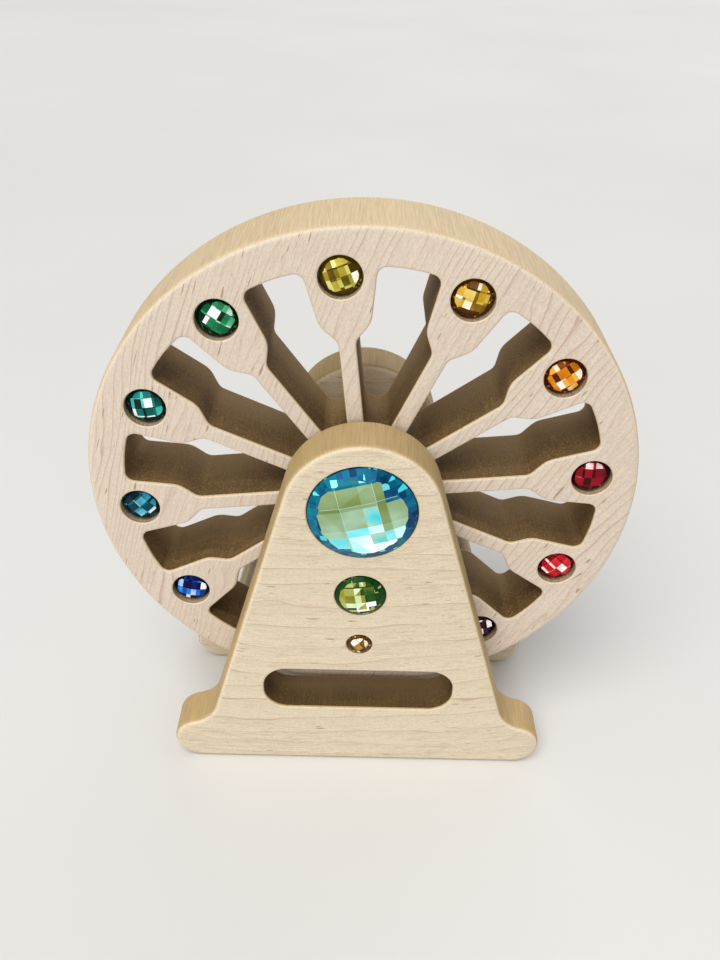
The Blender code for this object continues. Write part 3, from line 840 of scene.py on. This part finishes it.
def build_floor():
    """Plain pale floor, large enough to reach the horizon from every side."""
    work = bmesh.new()
    bmesh.ops.create_circle(work, cap_ends=True, segments=FLOOR_STEPS, radius=FLOOR_RADIUS)
    shader = Shader("pale_floor")
    cloud = shader.noise(shader.place, (3.0,) * 3, detail=3.0)
    shader.set("Base Color", shader.ramp(cloud, [(0.3, (0.70, 0.69, 0.67)), (0.7, (0.74, 0.73, 0.71))]))
    shader.set("Roughness", 0.75)
    floor = add_piece("floor", work, [shader.material])
    floor.location.z = -FLOOR_DROP


def add_softbox(name, place, aim, width, height, watts, colour):
    """Rectangular area light that faces a point."""
    lamp = bpy.data.lights.new(name, "AREA")
    lamp.shape = "RECTANGLE"
    lamp.size = width
    lamp.size_y = height
    lamp.energy = watts
    lamp.color = colour
    item = bpy.data.objects.new(name, lamp)
    item.location = place
    item.rotation_euler = (Vector(aim) - Vector(place)).to_track_quat("-Z", "Y").to_euler()
    bpy.context.scene.collection.objects.link(item)


def add_sun(name, direction, strength, spread_degrees, colour):
    """Even, soft light that travels along a direction."""
    lamp = bpy.data.lights.new(name, "SUN")
    lamp.energy = strength
    lamp.angle = math.radians(spread_degrees)
    lamp.color = colour
    item = bpy.data.objects.new(name, lamp)
    item.rotation_euler = Vector(direction).to_track_quat("-Z", "Y").to_euler()
    bpy.context.scene.collection.objects.link(item)


def build_lights():
    """Soft key light from the upper front, fill from behind, and a brighter sky to look at."""
    add_sun("key", direction=(0.22, 0.50, -0.90), strength=2.05, spread_degrees=40.0, colour=WARM_WHITE)
    add_sun("back", direction=(-0.30, -0.85, -0.40), strength=0.75, spread_degrees=60.0, colour=COOL_WHITE)
    add_softbox("front", place=(-0.15, -0.60, 0.25), aim=(0.0, 0.0, 0.03), width=0.5, height=0.3,
                watts=1.0, colour=WARM_WHITE)
    world = bpy.data.worlds.new("studio")
    world.use_nodes = True
    background = world.node_tree.nodes["Background"]
    background.inputs["Color"].default_value = (*SKY_WHITE, 1.0)
    seen = world.node_tree.nodes.new("ShaderNodeLightPath")
    strength = world.node_tree.nodes.new("ShaderNodeMapRange")
    strength.inputs["To Min"].default_value = SKY_STRENGTH
    strength.inputs["To Max"].default_value = SKY_SEEN_STRENGTH
    world.node_tree.links.new(seen.outputs["Is Camera Ray"], strength.inputs["Value"])
    world.node_tree.links.new(strength.outputs[0], background.inputs["Strength"])
    scene = bpy.context.scene
    scene.world = world
    scene.view_settings.view_transform = "Standard"


def build_camera():
    """Close view from above the front, a little turned about its own axis."""
    plate_low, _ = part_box("front_stand")
    data = bpy.data.cameras.new("camera")
    data.sensor_width = 36.0
    data.lens = CAMERA_LENS
    data.clip_start = 10.0 * MM
    camera = bpy.data.objects.new("camera", data)
    camera.matrix_world = (
        Matrix.Translation((CAMERA_SHIFT, plate_low.y - CAMERA_AHEAD, CAMERA_HEIGHT))
        @ Matrix.Rotation(math.pi / 2 - CAMERA_DOWNWARD, 4, "X")
        @ Matrix.Rotation(CAMERA_ROLL, 4, "Z"))
    bpy.context.scene.collection.objects.link(camera)
    bpy.context.scene.camera = camera


build_wheel()
build_stand_plate("front_stand_wood", "front_stand", grain_seed=12.0, side=FRONT,
                  gems=("large_aqua_gem", "medium_green_gem", "small_amber_gem"))
build_stand_plate("back_stand_wood", "back_stand", grain_seed=55.0, side=BACK, gems=())
build_gems()
dress_axle()
build_floor()
build_lights()
build_camera()
